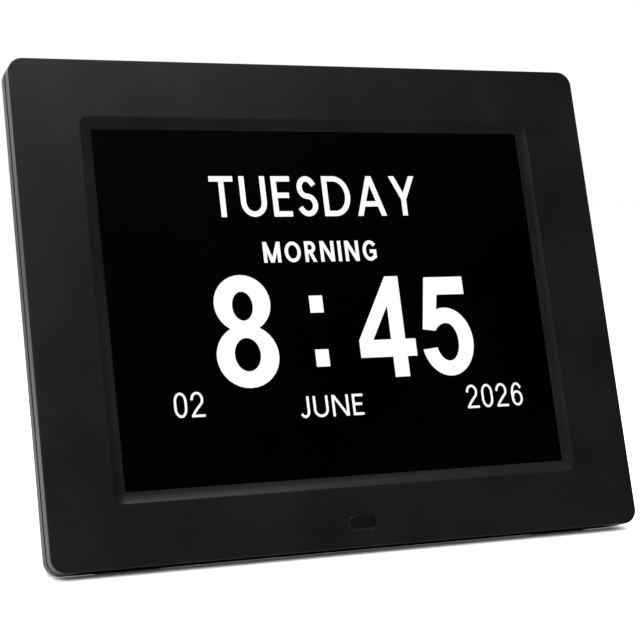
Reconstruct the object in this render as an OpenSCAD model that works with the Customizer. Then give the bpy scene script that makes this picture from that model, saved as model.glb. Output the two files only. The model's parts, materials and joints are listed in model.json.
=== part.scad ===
// Digital day clock: a flat display in a two-part casing that leans back on a folding leg.
// The case is drawn upright, x across, u back from its front face and v up along that face,
// then it is leaned back and set down so that z = 0 is the table.

/* [Case] */
// Width of the bezel's flat face beside the window's sloping band
face_side = 22.5; // [21:0.1:26]
// Height of the bezel's flat face above and below the sloping band
face_end = 20.3; // [19.4:0.1:24]
// Radius of the case's four corners
case_corner_r = 5.2; // [3.5:0.1:7]
// Thickness of the side walls
wall = 2.2; // [1.8:0.1:2.4]
// Thickness of the front bezel's plate round the window
plate_t = 2; // [1.6:0.1:2.4]
// Depth of the front bezel's side wall
front_depth = 4.9; // [4.4:0.1:5.6]
// Width of the groove between the two casing halves
groove_w = 1.1; // [0.5:0.1:1.3]
// Depth of the groove between the two casing halves
groove_depth = 0.7; // [0.3:0.1:1]
// Thickness of the rear cover's thin border
border_t = 2; // [1.6:0.1:2.4]
// Angle that the case leans back, in degrees
lean = 17.5; // [12:0.5:21]

/* [Window] */
// Width of the window that shows the display
window_w = 162; // [156:0.1:164]
// Height of the window that shows the display
window_h = 122.4; // [116:0.1:124]
// Width of the sloping band round the window
slope_w = 4; // [2:0.1:4.2]
// Depth of the sloping band
slope_depth = 1.1; // [0.6:0.1:1.2]
// Depth of the display's face behind the front face
window_t = 1.4; // [1.3:0.1:1.5]
// Corner radius of the sloping band's outer edge
slope_corner_r = 3.5; // [2:0.1:6]

/* [Display] */
// Width of the display module beside the window
lcd_side = 10.5; // [9.6:0.1:11.5]
// Height of the display module above and below the window
lcd_end = 9.3; // [8.5:0.1:10]
// Thickness of the display module
lcd_t = 6.3; // [5.8:0.1:6.8]
// Thickness of the display's glass
glass_t = 1.6; // [1.2:0.1:2]
// Width of the metal frame's lip beside the glass
lcd_lip = 3.5; // [2:0.1:4]
// Thickness of the metal frame's sides
lcd_side_t = 0.8; // [0.5:0.1:1.2]
// Thickness of the metal frame's back
lcd_back_t = 0.6; // [0.4:0.1:1]
// Gap between the display module and the rear cover's border
lcd_gap = 0.6; // [0.3:0.1:1]
// Width of the foam gasket round the window
gasket_w = 5; // [3:0.5:6]
// Thickness of the foam gasket, which is sunk in the plate
gasket_t = 0.5; // [0.3:0.1:0.8]
// Gap between the sloping band and the gasket
gasket_margin = 0.3; // [0.2:0.1:0.5]
// Gap between the display module and the ribs round it
lcd_rib_gap = 0.3; // [0.1:0.1:0.5]
// Thickness of the ribs round the display module
lcd_rib_t = 1.2; // [0.8:0.1:1.6]
// Height of the ribs round the display module
lcd_rib_h = 3.5; // [2:0.1:4.5]
// Length of the ribs along the module from each corner
lcd_rib_len = 22; // [12:1:30]
// Height of the four display clips above and below the middle
clip_v = 34; // [28:1:44]
// Width of a display clip
clip_w = 9; // [7:0.5:12]
// Thickness of a display clip
clip_t = 0.8; // [0.6:0.1:1]
// Length that a clip reaches over the display module
clip_reach = 5; // [3:0.5:8]
// Radius of a clip's boss
clip_boss_r = 2.3; // [2:0.1:2.5]
// Gap between the display module and a clip's boss
clip_boss_gap = 0.8; // [0.5:0.1:1]

/* [Rear housing] */
// Border between the case's edge and the raised housing
border_w = 7.5; // [7:0.1:9]
// Depth of the raised housing behind the border
housing_depth = 14.9; // [14.3:0.1:17]
// Inward slope of the housing's sides
housing_taper = 8.5; // [7:0.1:10]
// Size of the bevel along the housing's back edge
housing_bevel = 1.5; // [0.8:0.1:2]
// Corner radius at the foot of the housing
housing_corner_r = 18; // [15:0.5:24]
// Thickness of the housing's walls
housing_wall = 2.2; // [1.8:0.1:2.6]
// Number of cooling slots in a group
vent_count = 9; // [5:1:11]
// Distance between cooling slots
vent_pitch = 4; // [3.4:0.1:4.6]
// Width of a cooling slot
vent_w = 1.6; // [1:0.1:2.2]
// Length of a cooling slot
vent_len = 18; // [10:1:24]
// Sideways place of the cooling slots' middle
vent_x = 57; // [54:1:60]
// Height of the cooling slots' middle
vent_v = -48; // [-50:1:-44]

/* [Stand] */
// Angle that the leg opens from the case's back, in degrees
leg_open = 36; // [30:1:40]
// Width of the leg
leg_w = 56; // [46:1:58]
// Thickness of the leg
leg_t = 4.4; // [3.6:0.1:5]
// Height of the leg's hinge above the case's middle
hinge_v = 22; // [16:1:26]
// Radius of the hinge pin
pin_r = 1; // [0.8:0.05:1.2]
// Running clearance of the hinge pin in the leg
pin_clearance = 0.06; // [0.02:0.01:0.09]
// Clearance of the hinge pin in the rear cover
pin_seat_clearance = 0.02; // [0.01:0.01:0.04]
// Length of the hinge pin's seat at each end
pin_seat_len = 4.5; // [3:0.5:6]
// Height of the leg's heel above the hinge
heel_h = 3.6; // [3:0.1:4]
// Gap between the heel and its stop when the leg is open
heel_gap = 0.1; // [0.05:0.05:0.3]
// Gap at each side of the leg in its well
leg_side_gap = 0.5; // [0.3:0.1:1]
// Gap between the folded leg and the floor of its well
leg_floor_gap = 0.3; // [0.2:0.1:0.8]
// Depth that the folded leg sits below the housing's back
leg_sink = 0.2; // [0.1:0.1:0.5]
// Thickness of the walls round the leg's well
well_wall = 2; // [1.6:0.1:2.4]
// Depth of the leg's hollow inner side
leg_hollow = 2.6; // [1:0.1:2.8]
// Thickness of the leg's rim and ribs
leg_rim = 4; // [3:0.5:6]
// Corner radius at the leg's foot
leg_corner_r = 6; // [3:0.5:10]
// Space between the leg's plastic and the table, filled by the pad
pad_room = 0.8; // [0.5:0.1:1.5]
// Width of the leg's rubber pad
leg_pad_w = 36; // [24:1:40]

/* [Feet] */
// Height of the case's lowest edge above the table
foot_lift = 0.2; // [0.1:0.05:1]
// Width of a rubber foot
foot_w = 22; // [12:1:30]
// Depth of a rubber foot, front to back
foot_d = 3.5; // [2.5:0.1:5]
// Height of the face that holds a rubber foot, on the border's back
foot_grip = 6; // [4:0.1:6.5]
// Sideways place of the two rubber feet
foot_x = 80; // [60:1:88]

/* [Main board] */
// Width of the main board
board_w = 72; // [70:0.5:73]
// Height of the main board
board_h = 82; // [80:0.5:84]
// Thickness of the circuit boards
board_t = 1.6; // [1.2:0.1:2]
// Height of the main board's middle
board_v = -9; // [-11:0.5:-7]
// Space in front of the main board for its parts
board_front_room = 4.4; // [4.2:0.1:5]
// Distance from a board's edge to its screws
board_screw_inset = 4; // [3.6:0.1:4.5]
// Radius of the board posts
post_r = 3; // [2.6:0.1:3.2]
// Gap between the main board and the port wall
board_wall_gap = 0.3; // [0.2:0.1:0.6]

/* [Ports] */
// Depth of the port bay in the housing's side
bay_depth = 2; // [1.5:0.1:2.5]
// Lowest edge of the port bay
bay_v0 = -43; // [-44:0.5:-41]
// Highest edge of the port bay
bay_v1 = 24; // [22:0.5:25]
// Distance between the port bay's floor and the border
bay_floor = 2.4; // [2.3:0.1:2.6]
// Thickness of the walls round the port bay
bay_wall = 2; // [1.6:0.1:2.3]
// Gap round a port in the port wall
port_gap = 0.15; // [0.1:0.05:0.3]
// Height of the power socket's middle
power_v = -34; // [-35:0.5:-33]
// Width of the power socket
power_w = 7; // [6:0.1:8]
// Height of the power socket off the board
power_h = 6.5; // [5.5:0.1:7]
// Radius of the power socket's hole
power_hole_r = 1.95; // [1.6:0.05:2.4]
// Radius of the power socket's centre pin
power_pin_r = 0.6; // [0.4:0.05:0.8]
// Length of the power and data sockets
socket_len = 13; // [10:0.5:15]
// Height of the data socket's middle
usb_v = -16; // [-17:0.5:-15]
// Width of the data socket
usb_w = 13.1; // [12.8:0.1:14]
// Height of the data socket off the board
usb_h = 5.7; // [5.4:0.1:6.5]
// Height of the card slot's middle
card_v = 6; // [5:0.5:7]
// Width of the card slot
card_w = 27; // [26.5:0.1:27.6]
// Height of the card slot off the board
card_h = 3.6; // [3.2:0.1:4.5]
// Length of the card slot
card_len = 27; // [24:0.5:27.5]
// Thickness of the power and data sockets' back walls
socket_back = 3; // [2:0.5:4]
// Thickness of the data socket's tongue
tongue_t = 1.8; // [1.4:0.1:2]
// Gap between the data socket's tongue and its shell
tongue_gap = 0.7; // [0.5:0.1:0.9]
// Distance of the tongue's end and sides from the data socket's opening
tongue_inset = 1.2; // [0.8:0.1:2]
// Thickness of the card slot's side rails and back
card_rail = 1.2; // [0.8:0.1:1.6]
// Thickness of the sockets' metal shells
shell_t = 0.5; // [0.3:0.05:0.6]

/* [Board parts] */
// Side of the processor
cpu_w = 16; // [12:0.5:18]
// Thickness of the processor
cpu_t = 1.4; // [1:0.1:2]
// Length of a memory chip
memory_l = 12; // [8:0.5:13]
// Width of a memory chip
memory_w = 8; // [6:0.5:9]
// Thickness of a memory chip
memory_t = 1.1; // [0.8:0.1:1.6]
// Radius of a capacitor can
capacitor_r = 3.15; // [2:0.05:3.4]
// Height of a capacitor can
capacitor_h = 5.4; // [4:0.1:6]
// Side of a coil
coil_w = 7; // [5:0.5:8]
// Height of a coil
coil_h = 3.4; // [2:0.1:4]
// Radius of the coin cell
cell_r = 10; // [9:0.1:10.2]
// Thickness of the coin cell
cell_t = 3.2; // [2:0.1:3.4]
// Wall of the coin cell's holder
cell_holder_wall = 1.4; // [1:0.1:1.6]
// Gap round the coin cell in its holder
cell_gap = 0.1; // [0.05:0.05:0.2]
// Gap between the coin cell's holder and the leg's well
well_gap = 1; // [0.6:0.1:1.5]
// Gap between neighbouring parts on the main board
part_gap = 3; // [2:0.5:3.5]

/* [Buttons] */
// Height of the row of buttons
button_v = 56; // [55:0.5:57]
// Distance between buttons
button_pitch = 16; // [14:0.5:17]
// Radius of a button
button_r = 4; // [3.5:0.1:4.4]
// Height that a button stands out of the back
button_out = 1; // [0.8:0.1:1.5]
// Gap round a button in its hole
button_gap = 0.2; // [0.1:0.05:0.35]
// Width of the flange that keeps a button in
button_flange = 1; // [0.6:0.1:1.2]
// Thickness of the flange that keeps a button in
button_flange_t = 1; // [0.8:0.1:1.2]
// Gap between a button's flange and the back wall
button_seat = 0.15; // [0.1:0.05:0.3]
// Travel of a button
button_travel = 0.5; // [0.3:0.05:0.6]
// Side of a switch
switch_w = 6; // [5:0.1:6.4]
// Height of a switch's body
switch_h = 3.4; // [2.5:0.1:3.6]
// Radius of a switch's plunger
plunger_r = 1.7; // [1:0.1:2]
// Height that a plunger stands out of its switch
plunger_out = 0.9; // [0.7:0.05:1.2]
// Width of the button board
key_board_w = 116; // [112:1:120]
// Height of the button board
key_board_h = 12; // [10:0.5:12.5]

/* [Speaker] */
// Sideways place of the speaker's middle
speaker_x = -57; // [-60:1:-56]
// Height of the speaker's middle
speaker_v = -16; // [-20:1:-12]
// Radius of the speaker's rim
speaker_r = 14; // [12:0.5:15]
// Thickness of the speaker's rim
speaker_rim_t = 1.2; // [1:0.1:1.6]
// Depth of the speaker's basket
speaker_depth = 5; // [4:0.1:5.5]
// Radius of the speaker's magnet
magnet_r = 8; // [6:0.5:9]
// Thickness of the speaker's magnet
magnet_t = 3.6; // [2.5:0.1:4]
// Height of the seat that carries the speaker
speaker_seat_h = 1.5; // [1:0.1:2]
// Pitch of the speaker grille's holes
grille_pitch = 3; // [2.8:0.1:3.4]
// Radius of a speaker grille's hole
grille_r = 0.9; // [0.6:0.05:1.1]
// Number of rings of holes in the speaker grille
grille_rings = 3; // [2:1:3]

/* [Infrared] */
// Length of the infrared window
ir_w = 10.5; // [8:0.1:12]
// Height of the infrared window
ir_h = 4.8; // [4:0.1:5.4]
// Height of the infrared window's middle above the case's lower edge
ir_rise = 8.3; // [7.9:0.1:8.9]
// Depth of the infrared window's face behind the front face
ir_sink = 0.2; // [0:0.05:0.5]
// Gap round the infrared window
ir_gap = 0.15; // [0.1:0.05:0.3]
// Width of the infrared window's flange
ir_flange = 0.8; // [0.5:0.1:1]
// Thickness of the infrared window's flange
ir_flange_t = 0.6; // [0.4:0.1:0.8]
// Length of the infrared board
ir_board_w = 26; // [23:1:30]
// Height of the infrared board
ir_board_h = 8; // [7:0.1:8.4]
// Thickness of the infrared board
ir_board_t = 1; // [0.8:0.1:1.2]
// Side of the infrared receiver
receiver_w = 6; // [5:0.1:6.5]
// Thickness of the infrared receiver
receiver_t = 3; // [2.4:0.1:3.1]
// Radius of the lens on the infrared receiver
receiver_lens_r = 2; // [1.5:0.1:2.2]
// Height of the lens on the infrared receiver
receiver_lens_h = 0.6; // [0.4:0.1:0.7]

/* [Fasteners] */
// Radius of the case screws' shanks
case_screw_r = 1.2; // [1:0.05:1.4]
// Radius of the case screws' heads
case_head_r = 2.4; // [2:0.1:2.6]
// Height of the case screws' heads
case_head_h = 1.1; // [0.8:0.1:1.2]
// Length of the case screws' shanks
case_screw_len = 5; // [4:0.1:5.5]
// Distance from the case's sides to its screws
case_screw_inset = 7.2; // [6.8:0.1:7.6]
// Radius of the bosses that take the case screws
case_boss_r = 3; // [2.6:0.1:3.2]
// Height of the pad on the border above each boss
border_pad_t = 1; // [0.6:0.1:1.4]
// Radius of the small screws' shanks
small_screw_r = 0.9; // [0.7:0.05:1.1]
// Radius of the small screws' heads
small_head_r = 1.7; // [1.4:0.1:1.8]
// Height of the small screws' heads
small_head_h = 0.9; // [0.6:0.1:1]
// Gap between a screw and its hole
screw_gap = 0.05; // [0.02:0.01:0.1]
// Depth of a small screw in its post
small_screw_len = 4.2; // [3:0.1:4.4]

/* [Cables] */
// Radius of a thin wire with its insulation
wire_r = 0.55; // [0.4:0.05:0.65]
// Distance between the wires of a pair
wire_pitch = 1.5; // [1.4:0.05:1.8]
// Thickness of a flat cable
ribbon_t = 0.3; // [0.2:0.05:0.5]
// Width of the display's flat cable
lcd_ribbon_w = 26; // [20:1:30]
// Width of the button board's flat cable
key_cable_w = 8; // [5:0.5:10]
// Width of a cable header
header_w = 8; // [6:0.5:9]
// Depth of a cable header along its cable
header_d = 4; // [3:0.1:5]
// Height of a cable header
header_h = 3; // [2.5:0.1:3.4]
// Height of the display cable's socket above the main board's lower edge
lcd_socket_rise = 14; // [10:0.5:16]
// Depth of the display cable's socket along the cable
lcd_socket_d = 5; // [4:0.1:6]
// Height of the display cable's socket off the board
lcd_socket_h = 2; // [1.6:0.1:2.4]
// Length of a bend in the inner cables
cable_bend = 4; // [3:0.5:5]

/* [Wall hanging] */
// Distance between the two keyholes
keyhole_spacing = 124; // [116:1:132]
// Height of the keyholes' upper ends
keyhole_v = 40; // [38:0.5:41]
// Radius of a keyhole's slot
keyhole_slot_r = 2.2; // [1.8:0.1:2.6]
// Radius of a keyhole's entry
keyhole_entry_r = 4.4; // [4:0.1:4.6]
// Distance between a keyhole's entry and its upper end
keyhole_drop = 9; // [7.5:0.1:10]

/* [Hidden] */

$fn = 40;
hull_fn = 32;
eps = 0.01;
far = 300;

case_black = "#1b1b1d";
board_green = "#1f5a36";
steel_grey = "#b4b7ba";
header_white = "#e6e3d8";

// The display module and the case, round the window
lcd_w = window_w + 2 * lcd_side;
lcd_h = window_h + 2 * lcd_end;
case_w = window_w + 2 * (slope_w + face_side);
case_h = window_h + 2 * (slope_w + face_end);

// Depths behind the front face
lcd_back_u = window_t + lcd_t;
border_in_u = lcd_back_u + lcd_gap;
edge_u = border_in_u + border_t;
back_u = edge_u + housing_depth;
back_in_u = back_u - housing_wall;
board_u = lcd_back_u + board_front_room;
board_back_u = board_u + board_t;

// The gasket's outline, outside the sloping band
gasket_out_w = window_w + 2 * (slope_w + gasket_margin + gasket_w);
gasket_out_h = window_h + 2 * (slope_w + gasket_margin + gasket_w);

// The raised housing: its foot, its shoulder and its flat back
housing_w = case_w - 2 * border_w;
housing_h = case_h - 2 * border_w;
shoulder_u = back_u - housing_bevel;
housing_back_w = housing_w - 2 * housing_taper - 2 * housing_bevel;
function taper_at(u) = housing_taper * (u - edge_u) / (shoulder_u - edge_u);

// The leaning case and its open leg, on the table
foot_u = edge_u;
stand_z = foot_lift + foot_u * sin(lean) + case_h / 2 * cos(lean);
hinge_u = back_u - leg_sink - leg_t / 2;
leg_slope = leg_open - lean;
hinge_z = stand_z - hinge_u * sin(lean) + hinge_v * cos(lean);
hinge_y = hinge_u * cos(lean) + hinge_v * sin(lean);
leg_len = (hinge_z - leg_t / 2 * sin(leg_slope) - pad_room) / cos(leg_slope);
pad_inset = 0.2;
pad_half_t = leg_t / 2 - pad_inset;
toe_len = (hinge_z + pad_half_t * sin(leg_slope)) / cos(leg_slope);
toe_y = hinge_y + pad_half_t * cos(leg_slope) + toe_len * sin(leg_slope);
front_y = -case_h / 2 * sin(lean);
shift_y = -(toe_y + front_y) / 2;

// The leg's well, the heel's stop and the pin's seats
well_half_w = leg_w / 2 + leg_side_gap;
well_u = hinge_u - leg_t / 2 - leg_floor_gap;
heel_reach = leg_t / 2 * cos(leg_open) + heel_h * sin(leg_open);
heel_swing = norm([leg_t / 2, heel_h]);
heel_clear = 0.3;
stop_u = hinge_u - heel_reach - heel_gap;
well_top_v = hinge_v + heel_swing + heel_clear;
stop_low_v = hinge_v - heel_swing;
pin_half_len = well_half_w + pin_seat_len;
pin_block_wall = 1.6;
pin_end_gap = 0.1;

// The port bay in the housing's right side
port_x = housing_back_w / 2 - bay_depth;
bay_u = edge_u + bay_floor;
board_right_x = port_x - bay_wall - board_wall_gap;
board_x = board_right_x - board_w / 2;

// The main board's four screws
board_left_x = board_x - board_w / 2;
board_low_v = board_v - board_h / 2;
board_top_v = board_v + board_h / 2;
board_post_x = board_w / 2 - board_screw_inset;
board_post_v = board_h / 2 - board_screw_inset;

// The buttons, their switches and their board
button_count = 6;
button_flange_u = back_in_u - button_seat - button_flange_t;
plunger_gap = 0.05;
plunger_in = 0.3;
plunger_top_u = button_flange_u - plunger_gap;
switch_top_u = plunger_top_u - plunger_out;
key_back_u = switch_top_u - switch_h;
key_u = key_back_u - board_t;
key_post_x = key_board_w / 2 - board_screw_inset;
function button_x(i) = (i - (button_count - 1) / 2) * button_pitch;

// The speaker's depths
speaker_rim_u = back_in_u - speaker_seat_h - speaker_rim_t;
basket_u = speaker_rim_u + speaker_rim_t - speaker_depth;
magnet_u = basket_u - magnet_t;
basket_t = 0.8;
ear_reach = 3.4;
speaker_ear = speaker_r + ear_reach;
ear_r = 2.6;
ear_arm_half_w = 2;
seat_inset = 2.5;
cone_sink = 0.6;
cone_depth = 1.8;
dome_rise = 0.8;
surround_w = 1.6;

// The infrared window, receiver and board
ir_v = case_h / 2 - ir_rise;
ir_board_gap = 0.7;
ir_board_u = border_in_u - ir_board_t - ir_board_gap;
ir_post_r = 1.5;
ir_pin_r = 0.8;
ir_pin_out = 0.5;
ir_post_x = ir_board_w / 2 - ir_post_r - ir_pin_r;
ir_wire_x = ir_post_x - 3 * ir_post_r;
ir_wire_v = -(ir_v - 0.3 * ir_board_h);

// Clearances round the screws' heads and tips
head_gap = 0.2;
tip_gap = 0.5;

// Where the case's screws go
case_screw_x = case_w / 2 - case_screw_inset;
case_screw_v = case_h / 2 - case_screw_inset;
case_boss_top_u = border_in_u - border_pad_t;
head_seat_u = edge_u - case_head_h;

// Where the clips hold the display
clip_x = lcd_w / 2 + clip_boss_gap + clip_boss_r;

// The coin cell, beside the leg's well and below the card slot
cell_holder_r = cell_r + cell_gap + cell_holder_wall;
cell_x = well_half_w + well_wall + well_gap + cell_holder_r;
cell_v = (power_v + usb_v) / 2;

// The capacitors, beside the sockets, and the coils, beside the leg's well
capacitor_x = port_x - socket_len - part_gap - capacitor_r;
capacitor_pitch = 2 * capacitor_r + part_gap;
coil_x = well_half_w + well_wall + well_gap + coil_w / 2;
coil_pitch = coil_w + part_gap;

// The chips, beside each other on the main board's front
chips_v = board_v + cpu_w / 2 - part_gap;
memory_x = board_x + cpu_w / 2 + part_gap + memory_w / 2;
memory_pitch = memory_w + part_gap;

// The headers at the ends of the inner cables
lcd_socket_x = board_x - part_gap;
lcd_socket_v = board_low_v + lcd_socket_rise;
speaker_header = [board_left_x + header_d, board_v - header_w - part_gap];
ir_header = [board_left_x + header_w / 2 + part_gap, board_low_v + 2 * header_d];
key_header = [board_left_x + 2 * header_w, board_top_v - 1.5 * header_d];
key_header_top_v = button_v - key_board_h / 2 + header_d;
header_mid_u = board_u - header_h / 2;

// Routes of the inner cables: points of x, u and v for the wires, and of u and v for the ribbons
speaker_tag_x = speaker_x + magnet_r + 0.75 * cable_bend;
speaker_route = [
    [speaker_tag_x, basket_u + 2 * wire_r, speaker_v],
    [speaker_tag_x + cable_bend, basket_u - 2 * wire_r, speaker_v],
    [speaker_tag_x + 2 * cable_bend, board_u - 2 * wire_r, speaker_v],
    [speaker_tag_x + 4 * cable_bend, header_mid_u, speaker_v - cable_bend / 2],
    [(speaker_x + speaker_header.x) / 2, header_mid_u, speaker_header.y],
    [speaker_header.x - header_w, header_mid_u, speaker_header.y],
    [speaker_header.x - header_d / 2, header_mid_u, speaker_header.y],
];
ir_route = [
    [ir_header.x, header_mid_u, ir_header.y - header_d / 2],
    [ir_header.x, header_mid_u, ir_header.y - 2 * cable_bend],
    [ir_header.x - cable_bend, header_mid_u, ir_header.y - 4 * cable_bend],
    [ir_post_x, edge_u, ir_wire_v + 2 * cable_bend],
    [ir_post_x - ir_post_r, edge_u, ir_wire_v + cable_bend / 2],
    [ir_post_x - 2 * ir_post_r, edge_u - wire_r, ir_wire_v + cable_bend / 4],
    [ir_wire_x, edge_u - 3 * wire_r, ir_wire_v],
    [ir_wire_x, ir_board_u + ir_board_t, ir_wire_v],
];
lcd_ribbon_route = [
    [lcd_back_u + ribbon_t / 2, -lcd_h / 2 + 2 * cable_bend],
    [lcd_back_u + ribbon_t / 2, lcd_socket_v - 3 * cable_bend],
    [(lcd_back_u + board_u) / 2, lcd_socket_v - 1.5 * cable_bend],
    [board_u - lcd_socket_h / 2, lcd_socket_v - cable_bend / 2],
    [board_u - lcd_socket_h / 2, lcd_socket_v],
];
key_cable_route = [
    [key_u - header_h / 2, key_header_top_v - header_d],
    [key_u - header_h / 2, key_header_top_v - header_d - cable_bend],
    [header_mid_u, key_header.y + header_d / 2 + cable_bend],
    [header_mid_u, key_header.y + header_d / 2],
];

// Places the upright case on the table, leaning back
module in_case() {
    translate([0, shift_y, stand_z]) rotate([-lean, 0, 0]) children();
}

// Places the leg, drawn hanging from its hinge, at its open angle
module in_leg() {
    in_case() translate([0, hinge_u, hinge_v]) rotate([leg_open, 0, 0]) children();
}

// A box between two corners
module block(x0, x1, u0, u1, v0, v1) {
    translate([x0, u0, v0]) cube([x1 - x0, u1 - u0, v1 - v0]);
}

// A round bar along the depth
module bar(r, u0, u1, x = 0, v = 0) {
    translate([x, u0, v]) rotate([-90, 0, 0]) cylinder(r = r, h = u1 - u0);
}

// A rectangle with round corners
module round_rect(w, h, r) {
    square([w - 2 * r, h], center = true);
    square([w, h - 2 * r], center = true);
    for (sx = [-1, 1], sv = [-1, 1])
        translate([sx * (w / 2 - r), sv * (h / 2 - r)]) circle(r);
}

// A flat shape stood up in the case's plane
module stand_up(u0, u1) {
    translate([0, u1, 0]) rotate([90, 0, 0]) linear_extrude(u1 - u0) children();
}

module panel(w, h, r, u0, u1) {
    stand_up(u0, u1) round_rect(w, h, r);
}

module slot_shape(w, h) {
    square([w - h, h], center = true);
    for (s = [-1, 1]) translate([s * (w - h) / 2, 0]) circle(h / 2);
}

// A four-sided frame between two outlines
module ring_panel(w, h, side, r, u0, u1) {
    difference() {
        panel(w, h, r, u0, u1);
        panel(w - 2 * side, h - 2 * side, max(r - side, eps), u0 - 1, u1 + 1);
    }
}

// A pan head screw whose head sits at depth u, with its shank towards dir
module screw(r, head_r, head_h, len, u, dir, x, v) {
    bar(r, dir > 0 ? u : u - len, dir > 0 ? u + len : u, x, v);
    difference() {
        bar(head_r, dir > 0 ? u - head_h : u, dir > 0 ? u : u + head_h, x, v);
        for (turn = [0, 90])
            translate([x, dir > 0 ? u - head_h : u + head_h, v])
                rotate([0, turn, 0]) cube([head_r, head_h, head_r / 4], center = true);
    }
}

// A round wire through a list of points, whose rings start from one fixed direction
ring_start = [0.3, 0.2, 1];
function unit(a) = a / norm(a);
function heading(p, i) = unit(p[min(i + 1, len(p) - 1)] - p[max(i - 1, 0)]);
function wire_ring(p, i, r, n) =
    let (t = heading(p, i), s = unit(cross(t, ring_start)), w = cross(s, t))
        [for (k = [0:n - 1]) p[i] + r * (cos(360 * k / n) * s + sin(360 * k / n) * w)];
module wire(p, r) {
    n = 8;
    last = (len(p) - 1) * n;
    sides = [for (i = [0:len(p) - 2], k = [0:n - 1])
        each [[i * n + k, (i + 1) * n + (k + 1) % n, (i + 1) * n + k],
              [i * n + k, i * n + (k + 1) % n, (i + 1) * n + (k + 1) % n]]];
    polyhedron([for (i = [0:len(p) - 1]) each wire_ring(p, i, r, n)],
        concat([[for (k = [n - 1:-1:0]) k]], sides, [[for (k = [0:n - 1]) last + k]]));
}

// A flat cable through a list of depth and height points, w wide
function across(p, i) =
    let (d = unit(p[min(i + 1, len(p) - 1)] - p[max(i - 1, 0)])) [-d.y, d.x];
module ribbon(p, t, w, x) {
    near = [for (i = [0:len(p) - 1]) p[i] + across(p, i) * t / 2];
    rear = [for (i = [len(p) - 1:-1:0]) p[i] - across(p, i) * t / 2];
    translate([x - w / 2, 0, 0]) rotate([90, 0, 90]) linear_extrude(w) polygon(concat(near, rear));
}

// The front bezel
module front_bezel() {
    color(case_black) in_case() difference() {
        union() {
            difference() {
                panel(case_w, case_h, case_corner_r, 0, front_depth);
                panel(case_w - 2 * wall, case_h - 2 * wall, case_corner_r - wall,
                    plate_t, front_depth + 1);
            }
            for (sx = [-1, 1], sv = [-1, 1])
                bar(case_boss_r, plate_t - eps, case_boss_top_u, sx * case_screw_x, sv * case_screw_v);
            for (sx = [-1, 1], sv = [-1, 1])
                bar(clip_boss_r, plate_t - eps, lcd_back_u, sx * clip_x, sv * clip_v);
            for (s = [-1, 1]) {
                bar(ir_post_r, plate_t - eps, ir_board_u, s * ir_post_x, -ir_v);
                bar(ir_pin_r, ir_board_u - 1, ir_board_u + ir_board_t + ir_pin_out, s * ir_post_x, -ir_v);
            }
            lcd_ribs();
        }
        window_slope();
        block(-window_w / 2, window_w / 2, -1, plate_t + 1, -window_h / 2, window_h / 2);
        translate([0, 0, -ir_v]) stand_up(-1, plate_t + 1) slot_shape(ir_w, ir_h);
        block(-lcd_w / 2 - lcd_rib_gap, lcd_w / 2 + lcd_rib_gap, window_t, plate_t + 1,
            -lcd_h / 2 - lcd_rib_gap, lcd_h / 2 + lcd_rib_gap);
        ring_panel(gasket_out_w, gasket_out_h, gasket_w, eps * 2, window_t - gasket_t, window_t + eps);
        for (sx = [-1, 1], sv = [-1, 1])
            bar(case_screw_r + screw_gap, plate_t, far, sx * case_screw_x, sv * case_screw_v);
        for (sx = [-1, 1], sv = [-1, 1])
            bar(small_screw_r + screw_gap, plate_t + tip_gap, far, sx * clip_x, sv * clip_v);
    }
}

// The sloping band round the window, as a cutter
module window_slope() {
    hull() {
        panel(window_w + 2 * slope_w, window_h + 2 * slope_w, slope_corner_r, -eps, 0, $fn = hull_fn);
        block(-window_w / 2, window_w / 2, slope_depth, slope_depth + eps, -window_h / 2, window_h / 2);
    }
}

// Corner ribs that hold the display module in place
module lcd_ribs() {
    half_w = lcd_w / 2 + lcd_rib_gap;
    half_h = lcd_h / 2 + lcd_rib_gap;
    for (sx = [0, 1], sv = [0, 1])
        mirror([sx, 0, 0]) mirror([0, 0, sv]) {
            block(half_w, half_w + lcd_rib_t, plate_t - eps, plate_t + lcd_rib_h,
                half_h - lcd_rib_len, half_h + lcd_rib_t);
            block(half_w - lcd_rib_len, half_w + eps, plate_t - eps, plate_t + lcd_rib_h,
                half_h, half_h + lcd_rib_t);
        }
}

// The smoked window in front of the infrared receiver
module ir_window() {
    color("#0b0b10", 0.9) in_case() translate([0, 0, -ir_v]) {
        stand_up(ir_sink, plate_t) slot_shape(ir_w - 2 * ir_gap, ir_h - 2 * ir_gap);
        stand_up(plate_t, plate_t + ir_flange_t) slot_shape(ir_w + 2 * ir_flange, ir_h + 2 * ir_flange);
    }
}

module display_gasket() {
    color("#2b2b2b") in_case()
        ring_panel(gasket_out_w, gasket_out_h, gasket_w, eps * 2, window_t - gasket_t, window_t);
}

module lcd_glass() {
    color("#050506") in_case()
        block(-lcd_w / 2 + lcd_lip, lcd_w / 2 - lcd_lip, window_t, window_t + glass_t,
            -lcd_h / 2 + lcd_lip, lcd_h / 2 - lcd_lip);
}

module lcd_backlight() {
    color("#f4f4ee") in_case()
        block(-lcd_w / 2 + lcd_side_t, lcd_w / 2 - lcd_side_t, window_t + glass_t, lcd_back_u - lcd_back_t,
            -lcd_h / 2 + lcd_side_t, lcd_h / 2 - lcd_side_t);
}

module lcd_frame() {
    color(steel_grey) in_case() difference() {
        block(-lcd_w / 2, lcd_w / 2, window_t, lcd_back_u, -lcd_h / 2, lcd_h / 2);
        block(-lcd_w / 2 + lcd_lip, lcd_w / 2 - lcd_lip, window_t - 1, lcd_back_u - 1,
            -lcd_h / 2 + lcd_lip, lcd_h / 2 - lcd_lip);
        block(-lcd_w / 2 + lcd_side_t, lcd_w / 2 - lcd_side_t, window_t + glass_t, lcd_back_u - lcd_back_t,
            -lcd_h / 2 + lcd_side_t, lcd_h / 2 - lcd_side_t);
    }
}

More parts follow.
